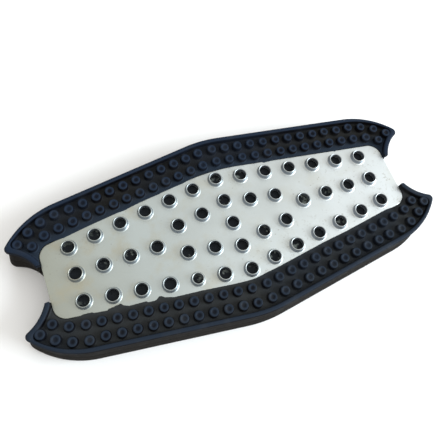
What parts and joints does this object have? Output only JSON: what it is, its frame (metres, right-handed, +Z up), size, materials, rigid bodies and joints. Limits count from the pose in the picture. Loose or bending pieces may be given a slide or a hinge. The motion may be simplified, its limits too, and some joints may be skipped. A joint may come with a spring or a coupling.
{
  "type": "stomp pad",
  "caption": "Elongated hexagonal rubber tread pad with a raised rim, rows of round bumps, notched ends and an inset steel grater plate pierced with raised holes.",
  "frame": {"origin": "centre of the flat underside, at the bottom", "axes": "+X along the pad, +Y across it, +Z up, out of the tread"},
  "size_m": [0.14, 0.064, 0.0113],
  "materials": {
    "plate_steel": "satin, lightly stained round the holes",
    "tread_rubber": "moulded, satin",
    "base_rubber": "moulded, matt",
    "adhesive_foam": "closed-cell foam, matt"
  },
  "bodies": {
    "root": {"grater_plate": "plate_steel", "tread_strip_left": "tread_rubber", "tread_strip_right": "tread_rubber", "base_pad": "base_rubber", "adhesive_sheet": "adhesive_foam"}
  },
  "joints": []
}
